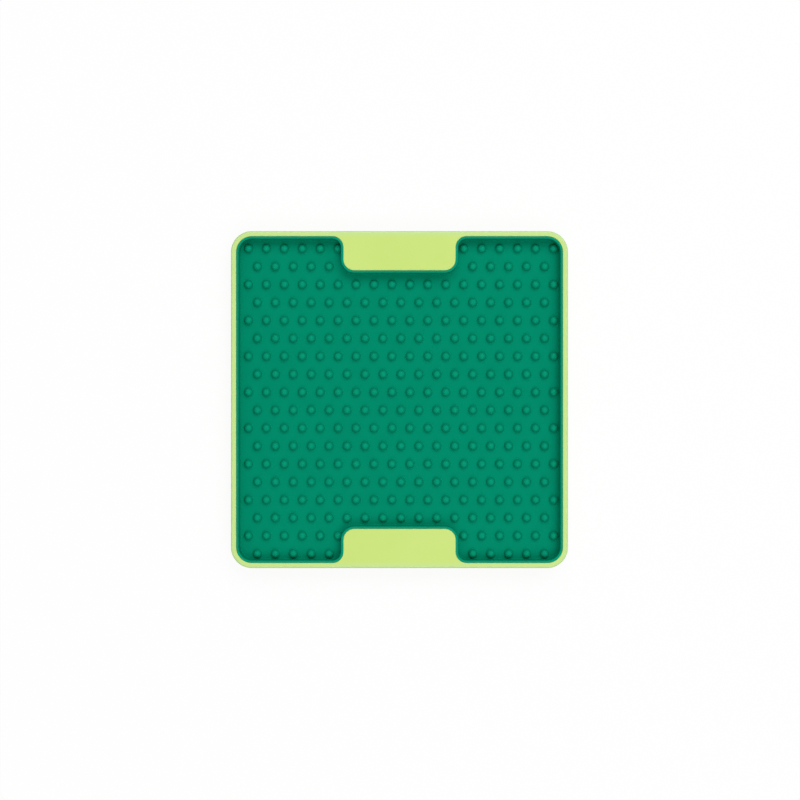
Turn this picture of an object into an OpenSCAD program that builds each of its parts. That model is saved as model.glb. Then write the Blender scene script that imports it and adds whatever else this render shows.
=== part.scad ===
// Lick mat: a square feeding mat of soft rubber, moulded into a hard tray with two grip tabs.
// Millimetres. Z is up, X runs from left to right and Y from the front edge to the back edge.
// The origin is on the ground, below the middle of the tray, which stands on four rubber feet.

/* [Tray] */
// Width of the tray at its lower edge, from left to right
tray_w = 200; // [160:1:260]
// Depth of the tray at its lower edge, from front to back
tray_d = 200; // [160:1:260]
// Height of the tray, from its lower edge to the top of its rim
tray_h = 14; // [12:0.5:20]
// Radius of the tray's outer corners, seen from above
tray_corner_r = 12.5; // [10:0.5:20]
// Width of the hard rim, seen from above
rim_w = 3.2; // [2.6:0.1:4.5]
// How far the outer wall leans in between its lower edge and the rim
skirt_lean = 0.1; // [0.1:0.05:0.8]
// Radius that rounds the rim's outer edge
rim_edge_r = 1.2; // [0.6:0.1:2]
// Size of the bevel round the edge of the well and along the tray's lower edge
edge_bevel = 0.35; // [0.1:0.05:0.6]
// Thickness of the tray's floor
floor_t = 2; // [1.6:0.1:3]
// Height of the floor's underside above the tray's lower edge
floor_lift = 2.5; // [2:0.1:4]

/* [Grip tabs] */
// Width of a grip tab
tab_w = 66.5; // [50:0.5:90]
// How far a tab reaches into the well, from the rim's inner edge
tab_reach = 20.2; // [16:0.1:30]
// Radius of a tab's two free corners
tab_corner_r = 6.5; // [5:0.5:9]
// Radius where a tab's sides run into the rim
tab_root_r = 6.5; // [5:0.5:9]
// Thickness of a tab's top
deck_t = 2.2; // [1.6:0.1:3]
// Thickness of the wall between a tab's hollow and the well
tab_wall_t = 2.2; // [1.6:0.1:3]
// Number of ribs inside a tab
tab_ribs = 3; // [1:1:5]

/* [Underside] */
// Thickness of the ribs
rib_t = 1.4; // [1:0.1:2.4]
// How far the ribs stay back from the tray's lower edge
rib_gap = 0.4; // [0.1:0.1:1]
// Distance of the long ribs from the middle of the tray
rib_offset = 30; // [22:1:38]

/* [Mat] */
// Thickness of the mat under its studs
mat_t = 2; // [1.5:0.1:3]
// Width of the mat's lip, along the top of its wall
lip_w = 1.5; // [1.2:0.1:2.2]
// Radius that rounds the lip's inner edge
lip_r = 0.4; // [0.2:0.1:0.9]
// How far the lip lies below the rim
lip_drop = 0.25; // [0.05:0.05:0.6]
// How far the mat's wall leans into the well, from its lip down to its foot
wall_lean = 0.2; // [0:0.05:0.8]
// Radius between the mat's wall and its floor
wall_fillet_r = 0.5; // [0.5:0.1:2]

/* [Studs] */
// Diameter of a stud
stud_d = 5.2; // [3.5:0.1:6.5]
// Height of a stud above the mat
stud_h = 3; // [2.6:0.1:4]
// Height of the dome on top of a stud, which is part of the stud's height
stud_dome_h = 1.45; // [0.8:0.05:2.2]
// Radius of the small flat on top of the dome
stud_flat_r = 0.5; // [0.2:0.1:1]
// Distance between studs in a row, and between rows
stud_pitch = 10.7; // [8.5:0.1:14]
// How far the field of studs lies to the right of the middle
stud_shift_x = 0.9; // [0:0.1:2]
// How far the field of studs lies in front of the middle
stud_shift_y = 0.9; // [0:0.1:2]
// Least rubber between a stud and the hard edge beside it
stud_skin = 0.2; // [0.1:0.05:1]

/* [Anchors] */
// Diameter of the necks that hold the mat to the tray's floor
neck_d = 4; // [3:0.5:6]
// Diameter of an anchor's head
head_d = 7; // [6:0.5:9]
// Thickness of an anchor's head
head_t = 1.2; // [0.8:0.1:1.5]
// Distance between anchors
anchor_pitch = 60; // [50:1:68]

/* [Feet] */
// Diameter of a foot
foot_d = 13; // [9:0.5:16]
// How far a foot stands out below the tray
foot_proud = 1; // [0.5:0.1:2]
// How deep a foot sits in its cup
foot_seat = 1.2; // [0.8:0.1:1.8]
// Radius that rounds a foot's lower edge
foot_edge_r = 0.6; // [0.2:0.1:0.9]
// Diameter of the stem that holds a foot
stem_d = 5; // [3:0.5:7]
// Length of the stem
stem_l = 2.1; // [1.5:0.1:2.5]
// Thickness of the cup's wall
cup_wall_t = 1.5; // [1:0.1:2.5]
// Gap between a foot and its cup
cup_gap = 0.1; // [0.05:0.05:0.3]
// Distance of a foot's middle from the tray's sides
foot_inset = 17; // [15:0.5:24]

/* [Hidden] */
$fn = 72;
lime = "#cfe77f";
green = "#008c6b";
dark_green = "#06694f";
// Overrun of every cut past the face that it opens
over = 0.5;
// Straight pieces that stand for a quarter of a small round in a profile
arc_steps = 6;
// The same for the dome of a stud, of which there are hundreds
dome_steps = 4;
// Heights above the ground
base_z = foot_proud;
rim_z = base_z + tray_h;
under_z = base_z + floor_lift;
floor_z = under_z + floor_t;
mat_z = floor_z + mat_t;
lip_z = rim_z - lip_drop;
rib_z = base_z + rib_gap;
deck_z = rim_z - deck_t;
seat_z = base_z + foot_seat;
// The well is the space inside the rim
well_w = tray_w - 2 * rim_w;
well_d = tray_d - 2 * rim_w;
well_r = tray_corner_r - rim_w;
tab_end_y = well_d / 2 - tab_reach;
// Thickness of the mat's wall at its foot
wall_foot_t = lip_w + wall_lean;
// Studs: as many as the well takes at their pitch
stud_room = stud_d / 2 + stud_skin;
stud_margin = stud_d / 2 + wall_foot_t;
stud_cols = 1 + floor((well_w - 2 * (stud_margin + stud_shift_x)) / stud_pitch);
stud_rows = 1 + floor((well_d - 2 * (stud_margin + stud_shift_y)) / stud_pitch);
stud_left_x = stud_shift_x - (stud_cols - 1) * stud_pitch / 2;
stud_back_y = (stud_rows - 1) * stud_pitch / 2 - stud_shift_y;
foot_x = tray_w / 2 - foot_inset;
foot_y = tray_d / 2 - foot_inset;
cup_r = foot_d / 2 + cup_gap;

// Points on a round from angle a to angle b
function arc(x, z, r, a, b) =
    [for (i = [0:arc_steps]) let (t = a + (b - a) * i / arc_steps) [x + r * cos(t), z + r * sin(t)]];

// Points on a dome that rises by h, from the radius r at the height z to a flat of radius flat_r
function dome(z, r, h, flat_r) =
    [for (i = [0:dome_steps]) let (t = 90 * i / dome_steps)
        [flat_r + (r - flat_r) * cos(t), z + h * sin(t)]];

// How far a point lies inside a rounded rectangle, or how far outside if negative
function room(x, y, half_w, half_d, r) =
    let (qx = abs(x) - (half_w - r), qy = abs(y) - (half_d - r))
    r - norm([max(qx, 0), max(qy, 0)]) - min(max(qx, qy), 0);

// Is there a stud at this place? It keeps clear of the rim and of both tabs.
function has_stud(x, y) =
    room(x, y, well_w / 2, well_d / 2, well_r) > stud_room
    && -room(x, abs(y) - well_d / 2, tab_w / 2, tab_reach, tab_corner_r) > stud_room;

// A rounded rectangle
module plan(w, d, r) {
    square([w - 2 * r, d], center = true);
    square([w, d - 2 * r], center = true);
    for (x = [-1, 1], y = [-1, 1])
        translate([x * (w / 2 - r), y * (d / 2 - r)]) circle(r);
}

// A tab and the rounds at its root, drawn larger by grow on every side that faces the well
module tab_plan(grow) {
    half_w = tab_w / 2 + grow;
    corner_r = tab_corner_r + grow;
    root_r = tab_root_r - grow;
    edge_y = well_d / 2 - grow;
    end_y = tab_end_y - grow;
    translate([-half_w, end_y + corner_r])
        square([2 * half_w, tray_d / 2 - end_y - corner_r]);
    translate([corner_r - half_w, end_y]) square([2 * (half_w - corner_r), corner_r]);
    for (x = [-1, 1]) {
        translate([x * (half_w - corner_r), end_y + corner_r]) circle(corner_r);
        difference() {
            translate([x * (half_w + root_r / 2), edge_y - root_r / 2]) square(root_r, center = true);
            translate([x * (half_w + root_r), edge_y - root_r]) circle(root_r);
        }
    }
}

// The well seen from above, drawn smaller by inset all round
module well_plan(inset) {
    difference() {
        plan(well_w - 2 * inset, well_d - 2 * inset, well_r - inset);
        tab_plan(inset);
        mirror([0, 1]) tab_plan(inset);
    }
}

// A straight run of a profile from a point. Its X points at angle turn, and the run goes to its right.
module run(x, y, turn, length) {
    translate([x, y, 0]) rotate([0, 0, turn]) rotate([90, 0, 0]) linear_extrude(height = length) children();
}

// A quarter turn of a profile about a point, from the angle start
module bend(x, y, start) {
    translate([x, y, 0]) rotate([0, 0, start]) rotate_extrude(angle = 90) children();
}

// Carries a profile round the edge of the well. Its X is the distance from that edge into the well.
module along_well() {
    half_w = well_w / 2;
    half_d = well_d / 2;
    half_tab = tab_w / 2;
    for (mx = [0, 1], my = [0, 1]) mirror([mx, 0, 0]) mirror([0, my, 0]) {
        run(half_w, 0, 180, half_d - well_r) children();
        bend(half_w - well_r, half_d - well_r, 0) translate([well_r, 0]) mirror([1, 0]) children();
        run(half_w - well_r, half_d, -90, half_w - well_r - half_tab - tab_root_r) children();
        bend(half_tab + tab_root_r, half_d - tab_root_r, 90)
            translate([tab_root_r, 0]) mirror([1, 0]) children();
        run(half_tab, half_d - tab_root_r, 0, tab_reach - tab_root_r - tab_corner_r) children();
        bend(half_tab - tab_corner_r, tab_end_y + tab_corner_r, -90) translate([tab_corner_r, 0]) children();
        run(half_tab - tab_corner_r, tab_end_y, -90, half_tab - tab_corner_r) children();
    }
}

// Section of the tray's solid block, from its outer face inwards
module block_profile() {
    polygon(concat(
        [[edge_bevel, base_z], [0, base_z + edge_bevel]],
        arc(skirt_lean + rim_edge_r, rim_z - rim_edge_r, rim_edge_r, 180, 90),
        [[tray_corner_r, rim_z], [tray_corner_r, base_z]]
    ));
}

// The tray before it is hollowed
module tray_block() {
    core_w = tray_w - 2 * tray_corner_r;
    core_d = tray_d - 2 * tray_corner_r;
    translate([-core_w / 2, -core_d / 2, base_z]) cube([core_w, core_d, tray_h]);
    for (x = [0, 1]) mirror([x, 0, 0]) run(tray_w / 2, -core_d / 2, 180, core_d) block_profile();
    for (y = [0, 1]) mirror([0, y, 0]) run(core_w / 2, tray_d / 2, -90, core_w) block_profile();
    for (x = [0, 1], y = [0, 1]) mirror([x, 0, 0]) mirror([0, y, 0])
        bend(core_w / 2, core_d / 2, 0) translate([tray_corner_r, 0]) mirror([1, 0]) block_profile();
}

// The hollow under a tab, seen from above
module hollow_plan() {
    half_w = tab_w / 2 - tab_wall_t;
    corner_r = tab_corner_r - tab_wall_t;
    start_y = tab_end_y + tab_wall_t;
    translate([-half_w, start_y + corner_r]) square([2 * half_w, well_d / 2 - start_y - corner_r]);
    translate([corner_r - half_w, start_y]) square([2 * (half_w - corner_r), corner_r]);
    for (x = [-1, 1]) translate([x * (half_w - corner_r), start_y + corner_r]) circle(corner_r);
}

// The ribs that stiffen the floor, seen from above
module rib_plan() {
    for (s = [-1, 1]) {
        translate([s * rib_offset, 0]) square([rib_t, 2 * tab_end_y + tab_wall_t], center = true);
        translate([0, s * rib_offset]) square([well_w + rim_w, rib_t], center = true);
    }
}

module tab_ribs() {
    step = (tab_w - 2 * tab_wall_t) / (tab_ribs + 1);
    for (i = [1:tab_ribs])
        translate([i * step - (tab_w - 2 * tab_wall_t) / 2 - rib_t / 2, tab_end_y + tab_wall_t / 2, rib_z])
            cube([rib_t, tab_reach, deck_z + deck_t / 2 - rib_z]);
}

// The wall of a tab's hollow, where it stands below the floor
module tab_wall() {
    difference() {
        translate([-tab_w / 2, tab_end_y, rib_z]) cube([tab_w, tab_reach + rim_w / 2, floor_z - rib_z]);
        translate([0, 0, rib_z - over]) linear_extrude(height = deck_z - rib_z + over) hollow_plan();
    }
}

module at_feet() {
    for (x = [-1, 1], y = [-1, 1]) translate([x * foot_x, y * foot_y, 0]) children();
}

module at_anchors() {
    for (x = [-1:1], y = [-1:1]) translate([x * anchor_pitch, y * anchor_pitch, 0]) children();
}

// An anchor: a neck through the floor and a head sunk flush in its underside
module anchor(top_z) {
    translate([0, 0, under_z]) cylinder(h = head_t, d1 = head_d, d2 = neck_d);
    translate([0, 0, under_z + head_t]) cylinder(h = top_z - under_z - head_t, d = neck_d);
}

module hard_tray() {
    color(lime) difference() {
        union() {
            difference() {
                tray_block();
                translate([0, 0, base_z - over])
                    linear_extrude(height = floor_lift + over) plan(well_w, well_d, well_r);
                for (y = [0, 1]) mirror([0, y, 0])
                    translate([0, 0, base_z - over])
                        linear_extrude(height = deck_z - base_z + over) hollow_plan();
            }
            translate([0, 0, rib_z]) linear_extrude(height = under_z + floor_t / 2 - rib_z) rib_plan();
            for (y = [0, 1]) mirror([0, y, 0]) {
                tab_ribs();
                tab_wall();
            }
            at_feet() translate([0, 0, rib_z])
                cylinder(h = under_z + floor_t / 2 - rib_z, r = cup_r + cup_wall_t);
        }
        translate([0, 0, floor_z]) linear_extrude(height = tray_h) well_plan(0);
        along_well() polygon([
            [-edge_bevel, rim_z], [-edge_bevel, rim_z + over], [over, rim_z + over],
            [over, rim_z - edge_bevel], [0, rim_z - edge_bevel]
        ]);
        at_feet() {
            translate([0, 0, rib_z - over]) cylinder(h = seat_z - rib_z + over, r = cup_r);
            translate([0, 0, seat_z - over]) cylinder(h = stem_l + over, d = stem_d);
        }
        at_anchors() anchor(floor_z + over);
    }
}

// Section of the mat's wall, from the tray's wall into the well
module wall_profile() {
    inner = wall_foot_t + wall_fillet_r;
    polygon(concat(
        [[0, floor_z], [inner, floor_z]],
        arc(inner, mat_z + wall_fillet_r, wall_fillet_r, 270, 180),
        arc(lip_w - lip_r, lip_z - lip_r, lip_r, 0, 90),
        [[0, lip_z]]
    ));
}

// A stud: a short round post with a flattened dome on top, rooted in the mat
module stud() {
    r = stud_d / 2;
    translate([0, 0, mat_z]) rotate_extrude() polygon(concat(
        [[0, -mat_t / 2], [r, -mat_t / 2]],
        dome(stud_h - stud_dome_h, r, stud_dome_h, stud_flat_r),
        [[0, stud_h]]
    ));
}

module soft_mat() {
    color(green) {
        along_well() wall_profile();
        translate([0, 0, floor_z]) linear_extrude(height = mat_t) well_plan(wall_foot_t + wall_fillet_r);
        at_anchors() anchor(floor_z + mat_t / 2);
        for (row = [0:stud_rows - 1], col = [0:stud_cols - 1 - row % 2]) {
            x = stud_left_x + (col + (row % 2) / 2) * stud_pitch;
            y = stud_back_y - row * stud_pitch;
            if (has_stud(x, y)) translate([x, y, 0]) stud();
        }
    }
}

// A foot: a rubber pad in its cup, held by a stem
module foot(x, y) {
    r = foot_d / 2;
    color(dark_green) translate([x * foot_x, y * foot_y, 0]) {
        rotate_extrude() polygon(concat(
            [[0, 0]],
            arc(r - foot_edge_r, foot_edge_r, foot_edge_r, -90, 0),
            [[r, seat_z], [0, seat_z]]
        ));
        translate([0, 0, seat_z - foot_seat / 2]) cylinder(h = stem_l + foot_seat / 2, d = stem_d);
    }
}

hard_tray();
soft_mat();
foot(-1, -1);  // foot_front_left
foot(1, -1);  // foot_front_right
foot(-1, 1);  // foot_back_left
foot(1, 1);  // foot_back_right
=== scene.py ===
"""Dresses the lick mat: a lime tray with two grip tabs, the rubber mat in it, and its four feet.

Lengths are in metres. +Z is up, +X is the photograph's right and +Y its top, and the origin lies
on the ground below the middle of the tray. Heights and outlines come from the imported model.
"""

from __future__ import annotations

import logging
import math
from collections.abc import Callable, Iterator, Sequence
from contextlib import contextmanager
from dataclasses import dataclass
from enum import Enum

import bmesh
import bpy
from bpy.types import Material, Node, NodeSocket, Object, World
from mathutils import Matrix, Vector

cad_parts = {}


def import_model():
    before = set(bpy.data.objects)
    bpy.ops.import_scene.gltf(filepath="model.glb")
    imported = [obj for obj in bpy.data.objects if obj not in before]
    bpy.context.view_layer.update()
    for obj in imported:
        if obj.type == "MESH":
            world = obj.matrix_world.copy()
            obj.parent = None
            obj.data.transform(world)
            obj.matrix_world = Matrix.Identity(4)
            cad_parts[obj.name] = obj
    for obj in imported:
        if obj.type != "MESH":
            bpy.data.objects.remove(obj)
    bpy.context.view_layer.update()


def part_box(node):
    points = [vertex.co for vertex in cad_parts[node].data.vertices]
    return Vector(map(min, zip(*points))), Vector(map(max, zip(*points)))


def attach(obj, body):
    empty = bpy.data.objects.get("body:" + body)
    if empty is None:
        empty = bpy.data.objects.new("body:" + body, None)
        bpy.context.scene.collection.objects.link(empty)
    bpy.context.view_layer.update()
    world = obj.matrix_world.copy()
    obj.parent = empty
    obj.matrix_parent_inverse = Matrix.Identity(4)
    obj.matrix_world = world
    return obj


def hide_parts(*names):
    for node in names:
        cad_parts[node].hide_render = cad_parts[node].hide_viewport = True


LOG = logging.getLogger("lick_mat")
BODY = "root"
WHITE = (1.0, 1.0, 1.0, 1.0)
# The radius of the tray's outer corners, seen from above
TRAY_CORNER = 0.0125
# Edges shorter than this are closed up once solids are joined
LEAST_EDGE = 0.000003
# Lengths that differ by less than this are the same
ROUNDING = 0.000001
# Faces whose normal has a lower Z than this face down
DOWNWARD = -0.9
# Edges that turn by less than this are one straight edge
STRAIGHT = math.radians(1)
# How far large faces outweigh small ones where their shading meets, from 1 to 100. 50 is neutral.
LARGE_FACE_WEIGHT = 90

# One stretch of a section: how far it goes inwards, and how far it rises along the face's normal
Step = tuple[float, float]


class Start(Enum):
    """Which way a rounded stretch of a section sets off."""

    STEEP = "steep"
    FLAT = "flat"


class Solid(Enum):
    """What one solid does to another."""

    ADD = "UNION"
    CUT = "DIFFERENCE"


class Slot(Enum):
    """The record's material slots."""

    TRAY = "tray_plastic"
    MAT = "mat_rubber"
    FOOT = "foot_rubber"


def quarter(inward: float, rise: float, start: Start, steps: int) -> list[Step]:
    """Splits a quarter of an oval into straight stretches.

    Args:
        inward: How far the whole quarter goes inwards.
        rise: How far it rises, or falls if negative.
        start: Whether it sets off along the rise or along the flat.
        steps: The number of stretches.

    Returns:
        The stretches, in order.
    """
    angles = [math.pi / 2 * i / steps for i in range(steps + 1)]
    if start is Start.STEEP:
        points = [(inward * (1 - math.cos(a)), rise * math.sin(a)) for a in angles]
    else:
        points = [(inward * math.sin(a), rise * (1 - math.cos(a))) for a in angles]
    return [(q[0] - p[0], q[1] - p[1]) for p, q in zip(points, points[1:])]


def deselect() -> None:
    """Deselects every object."""
    bpy.ops.object.select_all(action="DESELECT")


def pick(piece: Object) -> None:
    """Makes a piece the active object and the only selected one.

    Args:
        piece: The piece.
    """
    deselect()
    piece.select_set(True)
    bpy.context.view_layer.objects.active = piece


@contextmanager
def editing(piece: Object) -> Iterator[None]:
    """Opens a piece in edit mode, with nothing else selected, and closes it again.

    Args:
        piece: The piece to edit.
    """
    pick(piece)
    bpy.ops.object.mode_set(mode="EDIT")
    yield
    bpy.ops.object.mode_set(mode="OBJECT")


def same(first: float, second: float) -> bool:
    """Tells whether two lengths are the same but for rounding."""
    return math.isclose(first, second, abs_tol=ROUNDING)


def choose_all() -> None:
    """Selects all of the piece that is being edited."""
    bpy.ops.mesh.select_all(action="SELECT")


def choose_faces(piece: Object, wanted: Callable[[Vector, Vector], bool]) -> None:
    """Selects faces of the piece that is being edited.

    Args:
        piece: The piece.
        wanted: Tells from a face's middle and its normal whether it is wanted.
    """
    bpy.ops.mesh.select_mode(type="FACE")
    bpy.ops.mesh.select_all(action="DESELECT")
    shape = bmesh.from_edit_mesh(piece.data)
    for face in shape.faces:
        face.select_set(wanted(face.calc_center_median(), face.normal))
    bmesh.update_edit_mesh(piece.data)


def choose_underside(piece: Object, height: float) -> None:
    """Selects what faces down at a height on the piece that is being edited."""
    choose_faces(piece, lambda middle, normal: same(middle.z, height) and normal.z < DOWNWARD)


def choose_corners(piece: Object, wanted: Callable[[Vector], bool]) -> None:
    """Selects vertices of the piece that is being edited.

    Args:
        piece: The piece.
        wanted: Tells from a vertex's place whether it is wanted.
    """
    bpy.ops.mesh.select_mode(type="VERT")
    bpy.ops.mesh.select_all(action="DESELECT")
    shape = bmesh.from_edit_mesh(piece.data)
    for vertex in shape.verts:
        vertex.select_set(wanted(vertex.co))
    shape.select_flush_mode()
    bmesh.update_edit_mesh(piece.data)


def choose_mirrored(piece: Object, x: float, y: float) -> None:
    """Selects the vertices at x, y and its mirror images on the piece that is being edited."""
    choose_corners(piece, lambda place: same(abs(place.x), x) and same(abs(place.y), y))


def round_corners(radius: float, segments: int) -> None:
    """Rounds the selected corners of a flat face.

    Args:
        radius: The corners' radius.
        segments: The number of edges in each round.
    """
    bpy.ops.mesh.bevel(
        offset=radius,
        offset_type="OFFSET",
        segments=segments,
        affect="VERTICES",
        clamp_overlap=False,
    )
    bpy.ops.mesh.select_mode(type="FACE")
    choose_all()


def carry(section: Sequence[Step]) -> None:
    """Carries the selected face inwards through a section, so that it leaves walls behind it."""
    for inward, rise in section:
        bpy.ops.mesh.inset(thickness=inward, depth=rise, use_even_offset=True)


def thicken(rise: float) -> None:
    """Makes a solid of a flat piece whose only face is selected. The lower face stays."""
    bpy.ops.mesh.extrude_region_move(TRANSFORM_OT_translate={"value": (0, 0, rise)})


def turn_outwards() -> None:
    """Turns all faces of the piece that is being edited outwards."""
    choose_all()
    bpy.ops.mesh.normals_make_consistent(inside=False)


def settle() -> None:
    """Moves the place, the turn and the scale of the selected object into its mesh."""
    bpy.ops.object.transform_apply(location=True, rotation=True, scale=True)


def sheet(name: str, middle: Vector, half: Vector) -> Object:
    """Makes a flat face with square corners.

    Args:
        name: The new object's name.
        middle: The middle of the face.
        half: Half of its size along X and Y.

    Returns:
        The new object.
    """
    bpy.ops.mesh.primitive_plane_add(size=2, location=middle)
    piece = bpy.context.active_object
    piece.name = name
    piece.scale = (half.x, half.y, 1)
    settle()
    return piece


def rectangle(name: str, middle: Vector, half: Vector, radius: float, segments: int) -> Object:
    """Makes a flat face with round corners.

    Args:
        name: The new object's name.
        middle: The middle of the face.
        half: Half of its size along X and Y.
        radius: The corners' radius.
        segments: The number of edges in each round.

    Returns:
        The new object.
    """
    piece = sheet(name, middle, half)
    with editing(piece):
        choose_corners(piece, lambda place: True)
        round_corners(radius, segments)
    return piece


def disc(name: str, middle: Vector, radius: float, segments: int) -> Object:
    """Makes a flat round face.

    Args:
        name: The new object's name.
        middle: The middle of the face.
        radius: Its radius.
        segments: The number of edges round it.

    Returns:
        The new object.
    """
    bpy.ops.mesh.primitive_circle_add(
        vertices=segments, radius=radius, fill_type="NGON", location=middle
    )
    piece = bpy.context.active_object
    piece.name = name
    settle()
    return piece


def join(name: str, pieces: Sequence[Object]) -> Object:
    """Joins pieces into one object.

    Args:
        name: The name that the whole gets.
        pieces: The pieces.

    Returns:
        The whole.
    """
    deselect()
    for piece in pieces:
        piece.select_set(True)
    bpy.context.view_layer.objects.active = pieces[0]
    if len(pieces) > 1:
        bpy.ops.object.join()
    whole = bpy.context.active_object
    whole.name = name
    whole.data.name = name
    return whole


def copies(pattern: Object, places: Sequence[Vector]) -> Object:
    """Puts a copy of a piece, with a mesh of its own, at each place and joins them.

    Args:
        pattern: The piece, made round the origin. It is used up.
        places: Where the copies go.

    Returns:
        The joined copies.
    """
    made = []
    for place in places:
        copy = pattern.copy()
        copy.data = pattern.data.copy()
        copy.data.transform(copy.matrix_world)
        copy.matrix_world.identity()
        copy.data.update()
        copy.location = place
        bpy.context.collection.objects.link(copy)
        made.append(copy)
    name = pattern.name
    bpy.data.objects.remove(pattern)
    bpy.context.view_layer.update()
    whole = join(name, made)
    settle()
    return whole


def combine(piece: Object, tool: Object, how: Solid) -> None:
    """Adds a solid to a piece or cuts it out. The solid is used up.

    Args:
        piece: The piece that changes.
        tool: The solid.
        how: Whether it is added or cut.
    """
    pick(piece)
    modifier = piece.modifiers.new("combine", "BOOLEAN")
    modifier.operation = how.value
    modifier.solver = "MANIFOLD"
    modifier.object = tool
    bpy.ops.object.modifier_apply(modifier=modifier.name)
    bpy.data.objects.remove(tool)


def mend(piece: Object) -> None:
    """Closes up the edges of almost no length that joined solids leave in a piece.

    Args:
        piece: The piece.
    """
    with editing(piece):
        choose_all()
        bpy.ops.mesh.dissolve_degenerate(threshold=LEAST_EDGE)


def smooth(piece: Object, angle: float) -> None:
    """Shades a piece smooth up to an angle, so that its large faces stay flat.

    Args:
        piece: The piece.
        angle: Edges that turn further than this stay sharp.
    """
    pick(piece)
    bpy.ops.object.shade_smooth_by_angle(angle=angle)
    modifier = piece.modifiers.new("even", "WEIGHTED_NORMAL")
    modifier.keep_sharp = True
    modifier.weight = LARGE_FACE_WEIGHT
    bpy.ops.object.modifier_apply(modifier=modifier.name)


def finish_piece(piece: Object, finish: Material, nodes: Sequence[str]) -> None:
    """Dresses a piece and puts it in the place of the model's nodes.

    Args:
        piece: The piece.
        finish: Its material.
        nodes: The nodes that it stands for.
    """
    piece.data.materials.clear()
    piece.data.materials.append(finish)
    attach(piece, BODY)
    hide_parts(*nodes)
    LOG.info("%s: %d faces", piece.name, len(piece.data.polygons))


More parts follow.
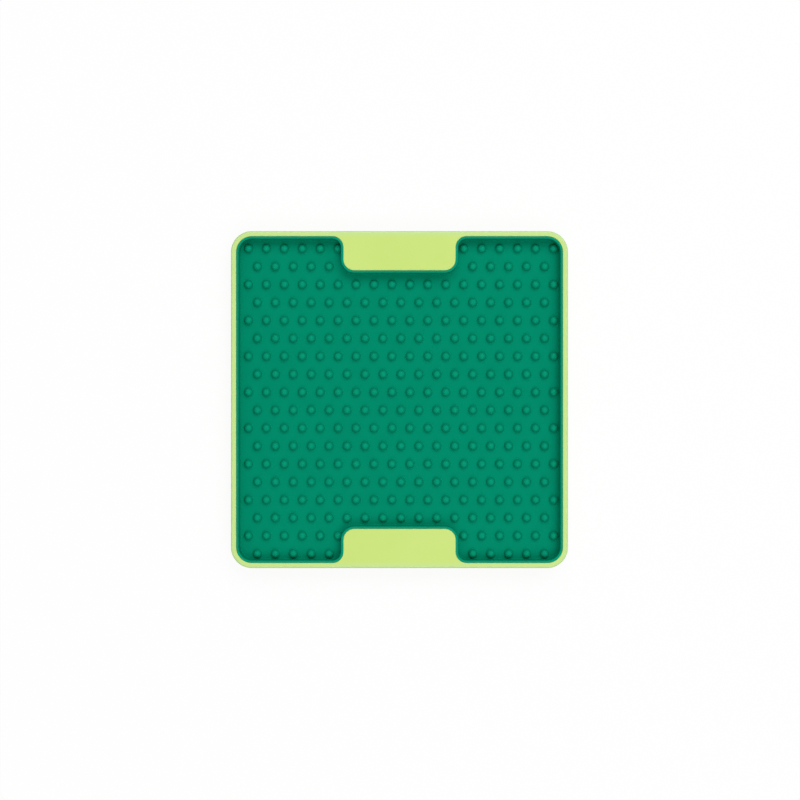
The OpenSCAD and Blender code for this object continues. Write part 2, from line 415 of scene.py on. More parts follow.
class NodeBench:
    """Makes and links the nodes of one material or of the world."""

    # Nearly all values of a noise lie between these
    NOISE_LOW = 0.3
    NOISE_HIGH = 0.7
    # The sockets of a Mix node that blends colours, by number, because their names repeat
    MIX_SHARE = 0
    MIX_FIRST = 6
    MIX_SECOND = 7
    MIX_RESULT = 2

    def __init__(self, owner: Material | World, output: str = "ShaderNodeOutputMaterial") -> None:
        """Starts with an output node alone.

        Args:
            owner: The material or the world.
            output: The output node's type.
        """
        owner.use_nodes = True
        self.tree = owner.node_tree
        self.tree.nodes.clear()
        self.output = self.tree.nodes.new(output)

    def add(self, kind: str, values: dict[str, object] | None = None, **settings: object) -> Node:
        """Adds a node.

        Args:
            kind: The node's type.
            values: What its sockets are set or linked to, by the sockets' names.
            **settings: Its own settings.

        Returns:
            The node.
        """
        node = self.tree.nodes.new(kind)
        for name, value in settings.items():
            setattr(node, name, value)
        for name, value in (values or {}).items():
            self.plug(node.inputs[name], value)
        return node

    def plug(self, socket: NodeSocket, value: object) -> None:
        """Sets a socket to a value, or links it if the value is a socket.

        Args:
            socket: The socket.
            value: The value, or the socket that gives it.
        """
        if isinstance(value, NodeSocket):
            self.tree.links.new(value, socket)
        else:
            socket.default_value = value

    def seen_directly(self) -> NodeSocket:
        """Tells the rays that are seen from those that only carry light.

        Returns:
            1 for straight, mirrored and see-through rays, and 0 for all others.
        """
        rays = self.add("ShaderNodeLightPath")
        seen = rays.outputs["Is Camera Ray"]
        for name in ("Is Glossy Ray", "Is Transmission Ray"):
            seen = self.calculate("MAXIMUM", seen, rays.outputs[name])
        return seen

    def places(self, size: float) -> NodeSocket:
        """The piece's own coordinates, in units of a size.

        Args:
            size: The length that becomes 1.

        Returns:
            The coordinates.
        """
        coordinates = self.add("ShaderNodeTexCoord")
        mapping = self.add("ShaderNodeMapping", {"Vector": coordinates.outputs["Object"]})
        mapping.inputs["Scale"].default_value = (1 / size,) * 3
        return mapping.outputs["Vector"]

    def noise(self, size: float, detail: float, roughness: float = 0.5) -> NodeSocket:
        """Cloudy values from 0 to 1.

        Args:
            size: How large the clouds are.
            detail: How many finer layers they have.
            roughness: How strong the finer layers are.

        Returns:
            The values.
        """
        values = {
            "Vector": self.places(size),
            "Scale": 1.0,
            "Detail": detail,
            "Roughness": roughness,
        }
        return self.add("ShaderNodeTexNoise", values).outputs["Fac"]

    def spread(self, value: NodeSocket, low: float, high: float) -> NodeSocket:
        """Maps the middle of a noise, where its values lie, to a range.

        Args:
            value: The noise.
            low: The range's lower end.
            high: Its upper end.

        Returns:
            The mapped value.
        """
        ends = {
            "Value": value,
            "From Min": self.NOISE_LOW,
            "From Max": self.NOISE_HIGH,
            "To Min": low,
            "To Max": high,
        }
        return self.add("ShaderNodeMapRange", ends).outputs["Result"]

    def blend(
        self, share: NodeSocket, first: NodeSocket | Sequence[float], second: Sequence[float]
    ) -> NodeSocket:
        """Blends two colours.

        Args:
            share: How much of the second one there is.
            first: The first colour, or the socket that gives it.
            second: The second colour.

        Returns:
            The colour.
        """
        if not isinstance(first, NodeSocket):
            first = (*first, 1)
        mix = self.add("ShaderNodeMix", data_type="RGBA")
        self.plug(mix.inputs[self.MIX_SHARE], share)
        self.plug(mix.inputs[self.MIX_FIRST], first)
        self.plug(mix.inputs[self.MIX_SECOND], (*second, 1))
        return mix.outputs[self.MIX_RESULT]

    def ramp(self, value: NodeSocket, low: float, high: float, start: float = 0.0) -> NodeSocket:
        """Rises smoothly to 1 while a value goes from a low to a high mark.

        Args:
            value: The value.
            low: The mark where the rise begins.
            high: The mark for 1.
            start: The result below the low mark.

        Returns:
            The result.
        """
        ends = {"Value": value, "From Min": low, "From Max": high, "To Min": start}
        node = self.add("ShaderNodeMapRange", ends, interpolation_type="SMOOTHSTEP")
        return node.outputs["Result"]

    def length(self, vector: NodeSocket) -> NodeSocket:
        """The length of a vector."""
        node = self.add("ShaderNodeVectorMath", {"Vector": vector}, operation="LENGTH")
        return node.outputs["Value"]

    def upward_part(self, vector: NodeSocket) -> NodeSocket:
        """The Z of a vector."""
        return self.add("ShaderNodeSeparateXYZ", {"Vector": vector}).outputs["Z"]

    def calculate(
        self, operation: str, first: object, second: object, vector: bool = False
    ) -> NodeSocket:
        """Works with two values or sockets.

        Args:
            operation: The operation's name.
            first: The first value or socket.
            second: The second one.
            vector: Whether both are vectors.

        Returns:
            The result.
        """
        kind = "ShaderNodeVectorMath" if vector else "ShaderNodeMath"
        node = self.add(kind, operation=operation)
        self.plug(node.inputs[0], first)
        self.plug(node.inputs[1], second)
        return node.outputs[0]

    def mix_shaders(self, share: NodeSocket, first: Node, second: Node) -> Node:
        """Mixes two shaders.

        Args:
            share: How much of the second one there is.
            first: The first shader.
            second: The second one.

        Returns:
            The mixed shader.
        """
        mix = self.add("ShaderNodeMixShader", {"Fac": share})
        self.plug(mix.inputs[1], first.outputs[0])
        self.plug(mix.inputs[2], second.outputs[0])
        return mix

    def show(self, shader: Node) -> None:
        """Makes a shader the surface of the material or of the world."""
        self.plug(self.output.inputs["Surface"], shader.outputs[0])


@dataclass(frozen=True, kw_only=True)
class MouldedFinish:
    """A moulded plastic or rubber: its colour, its gloss and the fine grain of its mould."""

    name: str
    colour: tuple[float, float, float]
    clouded: tuple[float, float, float]
    cloud_size: float
    roughness: tuple[float, float]
    specular: float
    specular_tint: tuple[float, float, float]
    grain_size: float
    grain_depth: float
    cloud_detail: float = 3.0
    rubbed_share: float = 0.25
    rubbed_detail: float = 4.0
    rubbed_roughness: float = 0.6
    grain_detail: float = 2.0

    def paint_highlight(self, bench: NodeBench, colour: NodeSocket) -> NodeSocket:
        """Paints highlights into the colour by place on the piece. A plain finish paints none and
        leaves the colour as it is.
        """
        return colour

    def build(self) -> Material:
        """Makes the material.

        Returns:
            The material.
        """
        material = bpy.data.materials.new(self.name)
        bench = NodeBench(material)
        clouds = bench.spread(bench.noise(self.cloud_size, self.cloud_detail), 0.0, 1.0)
        # Finishes with painted highlights paint them over the clouded colour
        colour = self.paint_highlight(bench, bench.blend(clouds, self.colour, self.clouded))
        rubbed_size = self.cloud_size * self.rubbed_share
        rubbed = bench.noise(rubbed_size, self.rubbed_detail, self.rubbed_roughness)
        gloss = bench.spread(rubbed, *self.roughness)
        grain = bench.noise(self.grain_size, self.grain_detail)
        relief = {"Height": grain, "Distance": self.grain_depth, "Strength": 1.0}
        bump = bench.add("ShaderNodeBump", relief)
        shader = bench.add(
            "ShaderNodeBsdfPrincipled",
            {"Base Color": colour, "Roughness": gloss, "Normal": bump.outputs["Normal"]},
        )
        shader.inputs["Specular IOR Level"].default_value = self.specular
        shader.inputs["Specular Tint"].default_value = (*self.specular_tint, 1)
        bench.show(shader)
        return material


@dataclass(frozen=True, kw_only=True)
class TrayFinish(MouldedFinish):
    """A plastic with a painted highlight: its colour is painted paler along the top of the tray's
    outer edge.
    """

    # The painted highlight's colour, how far in from the outline it reaches and how far down from
    # the rim
    pale: tuple[float, float, float]
    painted_highlight_width: float
    painted_highlight_depth: float
    corner: float

    def paint_highlight(self, bench: NodeBench, colour: NodeSocket) -> NodeSocket:
        """Paints a highlight into the colour: makes it paler along the rim's top, towards the
        tray's round-cornered outline.

        Args:
            bench: The material's nodes.
            colour: The colour.

        Returns:
            The new colour.
        """
        _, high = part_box("hard_tray")
        core = (high.x - self.corner, high.y - self.corner, high.z)
        place = bench.add("ShaderNodeTexCoord").outputs["Object"]
        mirrored = bench.calculate("MULTIPLY", place, (-1, -1, -1), True)
        size = bench.calculate("MAXIMUM", mirrored, place, True)
        past = bench.calculate("SUBTRACT", size, core, True)
        past = bench.calculate("MAXIMUM", past, (0, 0, 0), True)
        reach = bench.length(past)
        outer = bench.ramp(reach, self.corner - self.painted_highlight_width, self.corner)
        height = bench.upward_part(place)
        upper = bench.ramp(height, high.z - self.painted_highlight_depth, high.z)
        # The painted highlight along the rim's top outer edge
        return bench.blend(bench.calculate("MULTIPLY", outer, upper), colour, self.pale)


@dataclass(frozen=True, kw_only=True)
class StuddedFinish(MouldedFinish):
    """A rubber with a painted highlight: its colour is painted paler on the tips of its studs."""

    # The painted highlight's colour, the heights over which it fades in, and how far upwards a face
    # must point to get it
    pale: tuple[float, float, float]
    painted_highlight_from: float
    painted_highlight_to: float
    least_upward: float = 0.75

    def paint_highlight(self, bench: NodeBench, colour: NodeSocket) -> NodeSocket:
        """Paints a highlight into the colour: makes it paler on high places that face upwards.

        Args:
            bench: The material's nodes.
            colour: The colour.

        Returns:
            The new colour.
        """
        place = bench.add("ShaderNodeTexCoord")
        height = bench.upward_part(place.outputs["Object"])
        upward = bench.upward_part(place.outputs["Normal"])
        high = bench.ramp(height, self.painted_highlight_from, self.painted_highlight_to)
        share = bench.calculate("MULTIPLY", high, bench.ramp(upward, self.least_upward, 1.0))
        # The painted highlight on the studs' tips
        return bench.blend(share, colour, self.pale)


TRAY_FINISH = TrayFinish(
    name="lime_polypropylene",
    colour=(0.614, 0.80, 0.186),
    clouded=(0.634, 0.82, 0.204),
    cloud_size=0.03,
    roughness=(0.36, 0.46),
    specular=0.4,
    specular_tint=(1.0, 1.0, 1.0),
    grain_size=0.00025,
    grain_depth=0.00001,
    # The colour of the rim's painted highlight
    pale=(0.585, 0.815, 0.32),
    painted_highlight_width=0.0045,
    painted_highlight_depth=0.004,
    corner=TRAY_CORNER,
)
MAT_FINISH = StuddedFinish(
    name="green_rubber",
    colour=(0.0, 0.242, 0.132),
    clouded=(0.0, 0.256, 0.141),
    cloud_size=0.012,
    roughness=(0.42, 0.55),
    specular=0.25,
    specular_tint=(0.03, 1.0, 0.75),
    grain_size=0.0003,
    grain_depth=0.00001,
    # The colour of the painted highlight on the stud tips
    pale=(0.002, 0.295, 0.168),
    painted_highlight_from=0.0088,
    painted_highlight_to=0.0104,
)
FOOT_FINISH = MouldedFinish(
    name="foot_rubber",
    colour=(0.0, 0.12, 0.07),
    clouded=(0.0, 0.14, 0.082),
    cloud_size=0.006,
    roughness=(0.6, 0.75),
    specular=0.3,
    specular_tint=(0.3, 1.0, 0.8),
    grain_size=0.0004,
    grain_depth=0.00002,
)


@dataclass(frozen=True)
class Heights:
    """The levels that the pieces share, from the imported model."""

    base: float
    rim: float
    lip: float

    floor_lift: float = 0.0025
    floor_thickness: float = 0.002
    mat_thickness: float = 0.002

    @classmethod
    def from_frame(cls) -> Heights:
        """Reads the levels from the model's boxes.

        Returns:
            The levels.
        """
        tray_low, tray_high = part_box("hard_tray")
        _, mat_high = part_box("soft_mat")
        return cls(base=tray_low.z, rim=tray_high.z, lip=mat_high.z)

    @property
    def underside(self) -> float:
        """The underside of the tray's floor."""
        return self.base + self.floor_lift

    @property
    def inside_floor(self) -> float:
        """A level inside the tray's floor, up to which the forms below it reach."""
        return self.underside + self.floor_thickness / 2

    @property
    def floor(self) -> float:
        """The top of the tray's floor, on which the mat lies."""
        return self.underside + self.floor_thickness

    @property
    def mat(self) -> float:
        """The mat's surface between its studs."""
        return self.floor + self.mat_thickness


@dataclass(frozen=True)
class Well:
    """The outline of the space inside the rim, with a notch for each grip tab."""

    half_x: float
    half_y: float
    corner: float = 0.0093
    tab_half: float = 0.03325
    tab_reach: float = 0.0202
    tab_corner: float = 0.0065
    tab_root: float = 0.0065
    segments: int = 9

    @classmethod
    def from_frame(cls) -> Well:
        """Takes the outline's size from the mat, which fills the well."""
        low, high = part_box("soft_mat")
        return cls(half_x=(high.x - low.x) / 2, half_y=(high.y - low.y) / 2)

    @property
    def tab_end(self) -> float:
        """The distance of a tab's free edge from the middle."""
        return self.half_y - self.tab_reach

    def face(self, name: str, height: float, grow: float) -> Object:
        """Makes a flat face with this outline.

        Args:
            name: The new object's name.
            height: The height at which it lies.
            grow: How much larger than the well it is, on every side.

        Returns:
            The new object.
        """
        half_x = self.half_x + grow
        half_y = self.half_y + grow
        tab_half = self.tab_half - grow
        tab_end = self.tab_end + grow
        piece = sheet(name, Vector((0, 0, height)), Vector((half_x, half_y, 0)))
        with editing(piece):
            for side in (-1, 1):
                choose_all()
                bpy.ops.mesh.bisect(plane_co=(side * tab_half, 0, height), plane_no=(1, 0, 0))
                choose_all()
                bpy.ops.mesh.bisect(plane_co=(0, side * tab_end, height), plane_no=(0, 1, 0))
            choose_faces(piece, lambda spot, _: abs(spot.x) < tab_half and abs(spot.y) > tab_end)
            bpy.ops.mesh.delete(type="FACE")
            choose_all()
            bpy.ops.mesh.dissolve_limited(angle_limit=STRAIGHT)
            choose_mirrored(piece, half_x, half_y)
            round_corners(self.corner + grow, self.segments)
            choose_mirrored(piece, tab_half, half_y)
            round_corners(self.tab_root + grow, self.segments)
            choose_mirrored(piece, tab_half, tab_end)
            round_corners(self.tab_corner - grow, self.segments)
        return piece


@dataclass(frozen=True)
class Anchors:
    """The necks of rubber through the tray's floor, with countersunk heads in its underside."""

    pitch: float = 0.06
    steps: tuple[int, ...] = (-1, 0, 1)
    neck: float = 0.002
    head: float = 0.0035
    head_depth: float = 0.0012
    head_edge: float = 0.00001
    segments: int = 40
    crease: float = math.radians(30)

    def places(self) -> list[Vector]:
        """The anchors' middles, seen from above."""
        return [Vector((x * self.pitch, y * self.pitch, 0)) for x in self.steps for y in self.steps]


@dataclass(frozen=True)
class HardTray:
    """The hard tray: rim, floor, hollow grip tabs, ribs, foot cups and holes for the anchors."""

    heights: Heights
    well: Well
    feet: Sequence[RubberFoot]
    anchors: Anchors
    corner: float = TRAY_CORNER
    corner_segments: int = 14
    rim_width: float = 0.0032
    lean: float = 0.0001
    rim_round: float = 0.0012
    rim_steps: int = 7
    lower_round: float = 0.0004
    lower_steps: int = 4
    well_round: float = 0.00035
    well_steps: int = 4
    well_draft: float = 0.00002
    deck: float = 0.0022
    pocket_wall: float = 0.0022
    pocket_corner: float = 0.0016
    pocket_round: float = 0.0008
    pocket_steps: int = 5
    pocket_draft: float = 0.0002
    tab_ribs: int = 3
    rib: float = 0.0014
    rib_gap: float = 0.0004
    rib_step: float = 0.00005
    rib_offset: float = 0.030
    block_round: float = 0.0002
    block_steps: int = 3
    cup: float = 0.0066
    cup_wall: float = 0.0015
    cup_depth: float = 0.0012
    cup_segments: int = 48
    overrun: float = 0.0005
    crease: float = math.radians(32)

    def outline(self) -> Vector:
        """Half of the tray's size along X and Y."""
        low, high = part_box("hard_tray")
        return (high - low) / 2

    def shell(self) -> Object:
        """Makes the closed block of the tray: skirt, rim and the shallow recess below its floor.

        Returns:
            The block.
        """
        start = self.heights.base + self.lower_round
        straight = self.lower_round
        rise = self.heights.rim - start - straight - self.rim_round
        foot = self.rim_width - 2 * self.lower_round - self.lean
        middle = Vector((0, 0, start))
        half = self.outline()
        piece = rectangle("hard_tray_shell", middle, half, self.corner, self.corner_segments)
        with editing(piece):
            choose_all()
            thicken(straight)
            carry([(self.lean, rise)])
            carry(quarter(self.rim_round, self.rim_round, Start.STEEP, self.rim_steps))
            choose_underside(piece, start)
            carry(quarter(self.lower_round, self.lower_round, Start.STEEP, self.lower_steps))
            carry([(foot, 0)])
            carry(quarter(self.lower_round, -self.lower_round, Start.FLAT, self.lower_steps))
            carry([(self.lean, self.lower_round * 2 - self.heights.floor_lift)])
            carry(quarter(self.lower_round, -self.lower_round, Start.STEEP, self.lower_steps))
            turn_outwards()
        return piece

    def well_hollow(self) -> Object:
        """Makes the well that the mat fills, with a round at the rim's inner edge.

        Returns:
            The well, as a solid to cut.
        """
        rim = self.heights.rim
        piece = self.well.face("tray_well", rim, self.well_round)
        with editing(piece):
            choose_all()
            thicken(self.overrun)
            choose_underside(piece, rim)
            carry(quarter(self.well_round, self.well_round, Start.FLAT, self.well_steps))
            carry([(self.well_draft, rim - self.well_round - self.heights.floor)])
            turn_outwards()
        return piece

    def block(self, name: str, middle: Vector, half: Vector, low: float, high: float) -> Object:
        """Makes a block for the underside, with its lower edges rounded.

        Args:
            name: The new object's name.
            middle: Its middle, seen from above.
            half: Half of its size along X and Y.
            low: The height of its lower face.
            high: The height of its upper face.

        Returns:
            The block.
        """
        edge = self.block_round
        place = Vector((middle.x, middle.y, low + edge))
        piece = rectangle(name, place, half, edge, self.block_steps)
        with editing(piece):
            choose_all()
            thicken(high - low - edge)
            choose_underside(piece, place.z)
            carry(quarter(edge, edge, Start.STEEP, self.block_steps))
        return piece

    def ribs(self) -> list[Object]:
        """Makes the ribs under the floor and the walls round the hollows of the tabs.

        Their lower faces lie a step apart, because solids join cleanly only where no two of their
        faces lie in one plane.

        Returns:
            The ribs and the walls.
        """
        low = self.heights.base + self.rib_gap
        high = self.heights.inside_floor
        reach_y = self.well.tab_end + self.pocket_wall / 2
        reach_x = self.well.half_x + self.rim_width / 2
        made = []
        for side in (-1, 1):
            place = Vector((side * self.rib_offset, 0, 0))
            half = Vector((self.rib / 2, reach_y, 0))
            made.append(self.block("rib_y", place, half, low + self.rib_step, high))
            place = Vector((0, side * self.rib_offset, 0))
            half = Vector((reach_x, self.rib / 2, 0))
            made.append(self.block("rib_x", place, half, low + 2 * self.rib_step, high))
            half = Vector((self.well.tab_half, (self.well.tab_reach + self.rim_width / 2) / 2, 0))
            place = Vector((0, side * (self.well.tab_end + half.y), 0))
            made.append(self.block("tab_wall", place, half, low, high))
        return made

    def pockets(self) -> Object:
        """Makes the hollows under the tabs, between their ribs.

        Returns:
            The hollows, as solids to cut.
        """
        width = 2 * (self.well.tab_half - self.pocket_wall)
        count = self.tab_ribs + 1
        half_x = (width / count - self.rib) / 2
        half_y = (self.well.tab_reach - self.pocket_wall) / 2
        half = Vector((half_x, half_y, 0))
        low = self.heights.base - self.overrun
        high = self.heights.rim - self.deck
        middle = Vector((0, 0, low))
        pattern = rectangle("pocket", middle, half, self.pocket_corner, self.pocket_steps)
        with editing(pattern):
            choose_all()
            thicken(self.overrun)
            carry([(self.pocket_draft, high - low - self.overrun - self.pocket_round)])
            carry(quarter(self.pocket_round, self.pocket_round, Start.STEEP, self.pocket_steps))
        middle_y = self.well.tab_end + self.pocket_wall + half.y
        places = [
            Vector(((i + 0.5) * width / count - width / 2, side * middle_y, 0))
            for i in range(count)
            for side in (-1, 1)
        ]
        return copies(pattern, places)

    def cups(self) -> Object:
        """Makes the bosses round the feet.

        Returns:
            The bosses.
        """
        low = self.heights.base + self.rib_gap
        high = self.heights.inside_floor
        edge = self.block_round
        radius = self.cup + self.cup_wall
        pattern = disc("cup", Vector((0, 0, low + edge)), radius, self.cup_segments)
        with editing(pattern):
            choose_all()
            thicken(high - low - edge)
            choose_underside(pattern, low + edge)
            carry(quarter(edge, edge, Start.STEEP, self.block_steps))
        return copies(pattern, [foot.middle for foot in self.feet])

    def cup_hollows(self) -> Object:
        """Makes the recess and the stem's hole above each foot. All feet are alike.

        Returns:
            The recesses and holes, as solids to cut.
        """
        low = self.heights.base - self.overrun
        seat = self.heights.base + self.cup_depth
        foot = self.feet[0]
        pattern = disc("cup_hollow", Vector((0, 0, low)), self.cup, self.cup_segments)
        with editing(pattern):
            choose_all()
            thicken(seat - low)
            carry([(self.cup - foot.stem, 0)])
            thicken(foot.stem_length)
        return copies(pattern, [foot.middle for foot in self.feet])

    def anchor_holes(self) -> Object:
        """Makes the countersunk holes that the mat's anchors fill.

        Returns:
            The holes, as solids to cut.
        """
        anchors = self.anchors
        middle = Vector((0, 0, self.heights.underside - self.overrun))
        pattern = disc("anchor_hole", middle, anchors.head, anchors.segments)
        with editing(pattern):
            choose_all()
            thicken(self.overrun)
            carry([(anchors.head - anchors.neck, anchors.head_depth)])
            thicken(self.heights.floor_thickness)
        return copies(pattern, anchors.places())

    def build(self, finish: Material) -> None:
        """Makes the tray and dresses it.

        Args:
            finish: The tray's material.
        """
        piece = self.shell()
        combine(piece, self.well_hollow(), Solid.CUT)
        for rib in self.ribs():
            combine(piece, rib, Solid.ADD)
        combine(piece, self.cups(), Solid.ADD)
        combine(piece, self.pockets(), Solid.CUT)
        combine(piece, self.cup_hollows(), Solid.CUT)
        combine(piece, self.anchor_holes(), Solid.CUT)
        mend(piece)
        smooth(piece, self.crease)
        finish_piece(piece, finish, ["hard_tray"])


@dataclass(frozen=True)
class SoftMat:
    """The rubber mat: floor, wall, lip, studs, and the anchors that hold it to the tray."""

    heights: Heights
    well: Well
    anchors: Anchors
    lip: float = 0.0015
    lip_round: float = 0.0004
    lip_steps: int = 5
    lip_outer_round: float = 0.00015
    lip_outer_steps: int = 2
    wall_foot: float = 0.0017
    fillet: float = 0.0005
    fillet_steps: int = 5
    stud: float = 0.0026
    stud_height: float = 0.003
    stud_dome: float = 0.00145
    stud_dome_steps: int = 3
    stud_fillet: float = 0.0006
    stud_draft: float = 0.0001
    stud_root: float = 0.0005
    stud_segments: int = 14
    pitch: float = 0.0107
    columns: int = 18
    rows: int = 18
    shift_x: float = 0.0009
    shift_y: float = -0.0009
    stud_skin: float = 0.0002
    crease: float = math.radians(50)

    def body(self) -> Object:
        """Makes the mat without its studs.

        Returns:
            The mat.
        """
        floor = self.heights.floor
        lip = self.heights.lip
        piece = self.well.face("soft_mat_body", floor, 0)
        outer = self.lip_outer_round
        lean = self.wall_foot - self.lip
        fall = lip - self.lip_round - self.heights.mat - self.fillet
        with editing(piece):
            choose_all()
            thicken(lip - outer - floor)
            carry(quarter(outer, outer, Start.STEEP, self.lip_outer_steps))
            carry([(self.lip - self.lip_round - outer, 0)])
            carry(quarter(self.lip_round, -self.lip_round, Start.FLAT, self.lip_steps))
            carry([(lean, -fall)])
            carry(quarter(self.fillet, -self.fillet, Start.STEEP, self.fillet_steps))
            turn_outwards()
        return piece

    @staticmethod
    def room(place: Vector, middle_y: float, half_x: float, half_y: float, corner: float) -> float:
        """Works out how far a place lies inside a rectangle with round corners.

        Args:
            place: The place.
            middle_y: The Y of the rectangle's middle. Its X is 0.
            half_x: Half of its width.
            half_y: Half of its depth.
            corner: Its corners' radius.

        Returns:
            The distance from the rectangle's edge, which is negative outside it.
        """
        past_x = abs(place.x) - (half_x - corner)
        past_y = abs(place.y - middle_y) - (half_y - corner)
        beyond = math.hypot(max(past_x, 0), max(past_y, 0))
        return corner - beyond - min(max(past_x, past_y), 0)

    def has_stud(self, place: Vector) -> bool:
        """Tells whether a stud fits between the rim and the tabs.

        Args:
            place: The stud's place.

        Returns:
            Whether it fits.
        """
        need = self.stud + self.stud_skin
        well = self.well
        in_well = self.room(place, 0, well.half_x, well.half_y, well.corner)
        tab_y = math.copysign(well.half_y, place.y)
        in_tab = self.room(place, tab_y, well.tab_half, well.tab_reach, well.tab_corner)
        return in_well > need and -in_tab > need

    def places(self) -> list[Vector]:
        """Lays the studs out in staggered rows, from the back to the front.

        Returns:
            The studs' places.
        """
        left = self.shift_x - (self.columns - 1) * self.pitch / 2
        back = self.shift_y + (self.rows - 1) * self.pitch / 2
        grid = [
            Vector((left + (column + row % 2 / 2) * self.pitch, back - row * self.pitch, 0))
            for row in range(self.rows)
            for column in range(self.columns - row % 2)
        ]
        return [place for place in grid if self.has_stud(place)]

    def studs(self) -> Object:
        """Makes all studs: one is shaped from a disc and copied to every place.

        Returns:
            The studs.
        """
        root = Vector((0, 0, self.heights.mat - self.stud_root))
        pattern = disc("studs", root, self.stud + self.stud_fillet, self.stud_segments)
        top = self.stud - self.stud_draft
        dome = quarter(top, self.stud_dome, Start.STEEP, self.stud_dome_steps)
        post = self.stud_height - self.stud_dome - self.stud_fillet
        with editing(pattern):
            choose_all()
            thicken(self.stud_root)
            carry([(self.stud_fillet, self.stud_fillet), (self.stud_draft, post)])
            carry(dome[:-1])
            thicken(dome[-1][1])
            bpy.ops.mesh.merge(type="CENTER")
            turn_outwards()
        return copies(pattern, self.places())

    def anchor_plugs(self) -> Object:
        """Makes the heads and necks of the anchors, which show flush in the tray's underside.

        Returns:
            The anchors.
        """
        anchors = self.anchors
        low = self.heights.underside
        pattern = disc("soft_mat_anchors", Vector((0, 0, low)), anchors.head, anchors.segments)
        with editing(pattern):
            choose_all()
            thicken(anchors.head_edge)
            carry([(anchors.head - anchors.neck, anchors.head_depth)])
            thicken(self.heights.floor - low - anchors.head_depth)
            turn_outwards()
        return copies(pattern, anchors.places())

    def build(self, finish: Material) -> None:
        """Makes the mat and its anchors and dresses them.

        Args:
            finish: The material of both.
        """
        piece = self.body()
        combine(piece, self.studs(), Solid.ADD)
        mend(piece)
        smooth(piece, self.crease)
        finish_piece(piece, finish, ["soft_mat"])
        plugs = self.anchor_plugs()
        smooth(plugs, self.anchors.crease)
        finish_piece(plugs, finish, ["soft_mat"])


@dataclass(frozen=True)
class RubberFoot:
    """A rubber foot with its stem, pressed into a cup under the tray."""

    node: str
    segments: int = 56
    edge: float = 0.0006
    edge_steps: int = 5
    stem: float = 0.0025
    stem_length: float = 0.0021
    dish: float = 0.0002
    dish_share: float = 0.6
    crease: float = math.radians(35)

    @property
    def middle(self) -> Vector:
        """The foot's middle, seen from above."""
        low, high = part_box(self.node)
        return Vector(((low.x + high.x) / 2, (low.y + high.y) / 2, 0))

    def build(self, finish: Material) -> None:
        """Makes the foot and dresses it.

        Args:
            finish: The foot's material.
        """
        low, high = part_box(self.node)
        radius = (high.x - low.x) / 2
        seat = high.z - self.stem_length
        place = self.middle + Vector((0, 0, low.z + self.edge))
        piece = disc(f"{self.node}_rubber", place, radius, self.segments)
        with editing(piece):
            choose_all()
            thicken(seat - self.edge - low.z)
            carry([(radius - self.stem, 0)])
            thicken(self.stem_length)
            choose_underside(piece, place.z)
            carry(quarter(self.edge, self.edge, Start.STEEP, self.edge_steps))
            carry([(radius * (1 - self.dish_share) - self.edge, 0), (self.dish, -self.dish)])
            turn_outwards()
        smooth(piece, self.crease)
        finish_piece(piece, finish, [self.node])


@dataclass(frozen=True)
class Softbox:
    """A square lamp with a soft edge to its shadows, which faces the mat."""

    name: str
    azimuth: float
    elevation: float
    distance: float
    size: float
    power: float
    aim: tuple[float, float, float] = (0.0, 0.0, 0.0)

    def build(self) -> None:
        """Hangs the lamp. Its azimuth counts from +X towards +Y."""
        data = bpy.data.lights.new(self.name, "AREA")
        data.size = self.size
        data.energy = self.power
        turn = math.radians(self.azimuth)
        tilt = math.radians(self.elevation)
        level = math.cos(tilt)
        away = Vector((level * math.cos(turn), level * math.sin(turn), math.sin(tilt)))
        place = away * self.distance
        lamp = bpy.data.objects.new(self.name, data)
        lamp.location = place
        lamp.rotation_euler = (Vector(self.aim) - place).to_track_quat("-Z", "Y").to_euler()
        bpy.context.collection.objects.link(lamp)


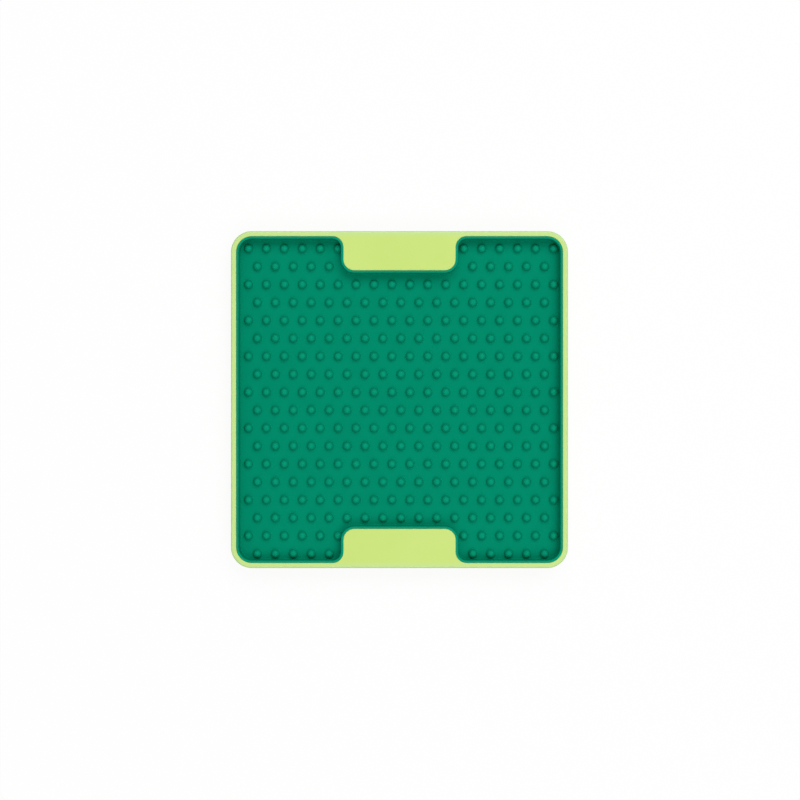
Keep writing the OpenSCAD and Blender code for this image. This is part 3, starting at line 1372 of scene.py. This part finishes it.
@dataclass(frozen=True)
class Studio:
    """The pale floor, the soft lights and the camera, which looks straight down."""

    lamps: tuple[Softbox, ...]
    sky: float
    camera_height: float = 0.9
    lens: float = 68.4
    sensor: float = 36.0
    frame_pixels: int = 800
    object_pixel_x: float = 399.0
    object_pixel_y: float = 399.1
    floor_half: float = 3.0
    floor_glow: float = 0.9
    floor_shade_half: float = 0.5
    floor_bounce: tuple[float, float, float] = (0.55, 0.55, 0.55)

    def camera(self, rim: float) -> None:
        """Sets the camera above the mat, as the photograph was taken.

        Args:
            rim: The height of the tray's rim, from which the camera's height counts.
        """
        pixel = self.camera_height * self.sensor / self.lens / self.frame_pixels
        middle = (self.frame_pixels - 1) / 2
        data = bpy.data.cameras.new("camera")
        data.lens = self.lens
        data.sensor_width = self.sensor
        camera = bpy.data.objects.new("camera", data)
        camera.location = (
            (middle - self.object_pixel_x) * pixel,
            (self.object_pixel_y - middle) * pixel,
            rim + self.camera_height,
        )
        bpy.context.collection.objects.link(camera)
        bpy.context.scene.camera = camera

    def floor(self) -> None:
        """Lays the floor: white to every ray that is seen, with a faint shadow of the mat.

        Away from the mat it becomes as white as the sky, so that no edge shows where they meet.
        """
        bpy.ops.mesh.primitive_plane_add(size=2 * self.floor_half, location=(0, 0, 0))
        floor = bpy.context.active_object
        floor.name = "floor"
        material = bpy.data.materials.new("pale_floor")
        bench = NodeBench(material)
        seen = bench.seen_directly()
        place = bench.add("ShaderNodeTexCoord").outputs["Object"]
        reach = bench.length(place)
        glow = bench.ramp(reach, self.floor_shade_half, self.floor_half, self.floor_glow)
        share = bench.calculate("MULTIPLY", seen, glow)
        colour = bench.blend(seen, self.floor_bounce, WHITE[:3])
        matt = bench.add("ShaderNodeBsdfDiffuse", {"Color": colour})
        white = bench.add("ShaderNodeEmission", {"Color": WHITE, "Strength": 1.0})
        bench.show(bench.mix_shaders(share, matt, white))
        floor.data.materials.append(material)

    def world(self) -> None:
        """Sets the sky: a soft pale dome that the camera sees as white."""
        world = bpy.data.worlds.new("studio")
        bpy.context.scene.world = world
        bench = NodeBench(world, "ShaderNodeOutputWorld")
        dome = bench.add("ShaderNodeBackground", {"Color": WHITE, "Strength": self.sky})
        white = bench.add("ShaderNodeBackground", {"Color": WHITE, "Strength": 1.0})
        bench.show(bench.mix_shaders(bench.seen_directly(), dome, white))

    def build(self, rim: float) -> None:
        """Sets up the whole studio.

        Args:
            rim: The height of the tray's rim.
        """
        self.camera(rim)
        self.world()
        self.floor()
        for lamp in self.lamps:
            lamp.build()
        bpy.context.scene.view_settings.view_transform = "Standard"


STUDIO = Studio(
    lamps=(
        Softbox("back_right", azimuth=45, elevation=52, distance=4.0, size=2.1, power=33.3),
        Softbox("back", azimuth=90, elevation=52, distance=4.0, size=2.1, power=35.3),
        Softbox("front", azimuth=270, elevation=50, distance=4.0, size=2.1, power=16.0),
        Softbox("front_right", azimuth=302, elevation=63, distance=4.0, size=2.1, power=30.5),
    ),
    sky=0.398,
)


def main() -> None:
    """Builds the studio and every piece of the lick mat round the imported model."""
    logging.basicConfig(level=logging.INFO, format="%(message)s")
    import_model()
    heights = Heights.from_frame()
    well = Well.from_frame()
    STUDIO.build(heights.rim)
    feet = [
        RubberFoot(node)
        for node in ("foot_front_left", "foot_front_right", "foot_back_left", "foot_back_right")
    ]
    anchors = Anchors()
    HardTray(heights, well, feet, anchors).build(TRAY_FINISH.build())
    SoftMat(heights, well, anchors).build(MAT_FINISH.build())
    foot_finish = FOOT_FINISH.build()
    for foot in feet:
        foot.build(foot_finish)


if __name__ == "__main__":
    main()
